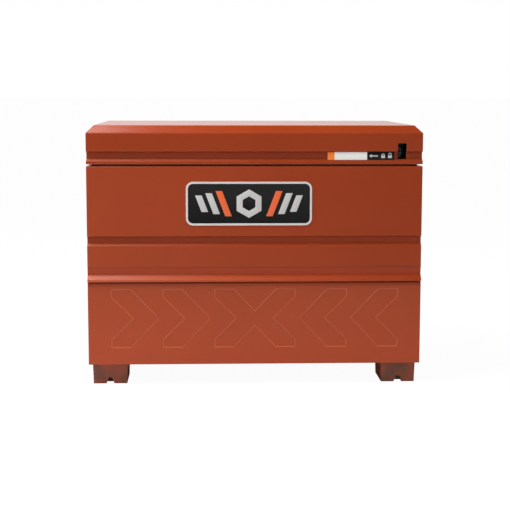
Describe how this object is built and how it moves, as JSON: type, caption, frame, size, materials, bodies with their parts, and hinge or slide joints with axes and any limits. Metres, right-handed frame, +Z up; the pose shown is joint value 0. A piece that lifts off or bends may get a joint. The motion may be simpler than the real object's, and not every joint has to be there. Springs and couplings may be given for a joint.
{
  "type": "steel jobsite tool chest",
  "caption": "Steel jobsite tool chest with a hinged lid over a deep bin, a full-width drawer with pressed chevrons, a recessed latch, lifting handles and fixed feet.",
  "frame": {"origin": "on the floor, under the middle of the chest's outline", "axes": "+X to the right along the front, +Y from the front to the back, +Z up"},
  "size_m": [1.219, 0.7835, 0.949],
  "materials": {
    "body_paint": "satin powder coat, orange brown",
    "foot_paint": "satin powder coat, dull and in shade",
    "black_paint": "matt black powder coat",
    "grey_plastic": "moulded dark grey",
    "seal_rubber": "matt black",
    "zinc_plate": "zinc plated",
    "rod_chrome": "ground and hard chromed"
  },
  "bodies": {
    "body": {"front_panel": "body_paint", "left_side_panel": "body_paint", "right_side_panel": "body_paint", "back_panel": "body_paint", "chest_floor": "body_paint", "floor_stiffeners": "body_paint", "base_pan": "body_paint", "front_left_foot": "foot_paint", "front_right_foot": "foot_paint", "rear_left_foot": "foot_paint", "rear_right_foot": "foot_paint", "rim_seal": "seal_rubber", "hinge_body_leaf": "body_paint", "hinge_pin": "zinc_plate", "latch_strikes": "zinc_plate", "left_handle_recess": "black_paint", "right_handle_recess": "black_paint", "left_spring_body_bracket": "zinc_plate", "right_spring_body_bracket": "zinc_plate", "left_runner_outer": "zinc_plate", "right_runner_outer": "zinc_plate"},
    "lid": {"lid_shell": "body_paint", "lock_plate": "body_paint", "lid_frame": "body_paint", "lid_front_angle": "body_paint", "lid_stiffeners": "body_paint", "lid_storage_panel": "black_paint", "hinge_lid_leaf": "body_paint", "latch_guides": "zinc_plate", "lock_housing": "black_paint", "lock_staple": "zinc_plate", "left_spring_lid_bracket": "zinc_plate", "right_spring_lid_bracket": "zinc_plate"},
    "latch": {"latch_bar": "zinc_plate", "latch_hooks": "zinc_plate", "latch_thumb_tab": "grey_plastic"},
    "drawer": {"drawer_front": "body_paint", "drawer_liner": "body_paint", "drawer_tray": "body_paint", "left_runner_inner": "zinc_plate", "right_runner_inner": "zinc_plate"},
    "left_spring_tube": {"left_spring_tube": "black_paint"},
    "left_spring_rod": {"left_spring_rod": "rod_chrome"},
    "left_runner": {"left_runner_middle": "zinc_plate"},
    "left_handle": {"left_handle": "zinc_plate"},
    "right_spring_tube": {"right_spring_tube": "black_paint"},
    "right_spring_rod": {"right_spring_rod": "rod_chrome"},
    "right_runner": {"right_runner_middle": "zinc_plate"},
    "right_handle": {"right_handle": "zinc_plate"}
  },
  "joints": [
    {"name": "lid_hinge", "type": "hinge", "parent": "body", "child": "lid", "pos_m": [0, 0.38725, 0.80585], "axis": [-1, 0, 0], "range_deg": [0, 90]},
    {"name": "drawer_slide", "type": "slide", "parent": "body", "child": "drawer", "axis": [0, -1, 0], "range_m": [0, 0.55]},
    {"name": "latch_slide", "type": "slide", "parent": "lid", "child": "latch", "axis": [1, 0, 0], "range_m": [0, 0.014]},
    {"name": "left_spring_tube_swing", "type": "hinge", "parent": "body", "child": "left_spring_tube", "pos_m": [-0.5645, 0.21814, 0.53419], "axis": [-1, 0, 0], "range_deg": [0, 45]},
    {"name": "left_spring_rod_swing", "type": "hinge", "parent": "lid", "child": "left_spring_rod", "pos_m": [-0.5645, 0.07413, 0.87185], "axis": [1, 0, 0], "range_deg": [0, 45]},
    {"name": "left_runner_slide", "type": "slide", "parent": "body", "child": "left_runner", "axis": [0, -1, 0], "range_m": [0, 0.275]},
    {"name": "left_handle_swing", "type": "hinge", "parent": "body", "child": "left_handle", "pos_m": [-0.5865, 0.00225, 0.6712], "axis": [0, 1, 0], "range_deg": [0, 90]},
    {"name": "right_spring_tube_swing", "type": "hinge", "parent": "body", "child": "right_spring_tube", "pos_m": [0.5645, 0.21814, 0.53419], "axis": [-1, 0, 0], "range_deg": [0, 45]},
    {"name": "right_spring_rod_swing", "type": "hinge", "parent": "lid", "child": "right_spring_rod", "pos_m": [0.5645, 0.07413, 0.87185], "axis": [1, 0, 0], "range_deg": [0, 45]},
    {"name": "right_runner_slide", "type": "slide", "parent": "body", "child": "right_runner", "axis": [0, -1, 0], "range_m": [0, 0.275]},
    {"name": "right_handle_swing", "type": "hinge", "parent": "body", "child": "right_handle", "pos_m": [0.5865, 0.00225, 0.6712], "axis": [0, -1, 0], "range_deg": [0, 90]}
  ],
  "couplings": [
    {"joint": "left_spring_tube_swing", "follows": "lid_hinge", "ratio": 0.5},
    {"joint": "left_spring_rod_swing", "follows": "lid_hinge", "ratio": 0.5},
    {"joint": "left_runner_slide", "follows": "drawer_slide", "ratio": 0.5},
    {"joint": "right_spring_tube_swing", "follows": "lid_hinge", "ratio": 0.5},
    {"joint": "right_spring_rod_swing", "follows": "lid_hinge", "ratio": 0.5},
    {"joint": "right_runner_slide", "follows": "drawer_slide", "ratio": 0.5}
  ]
}
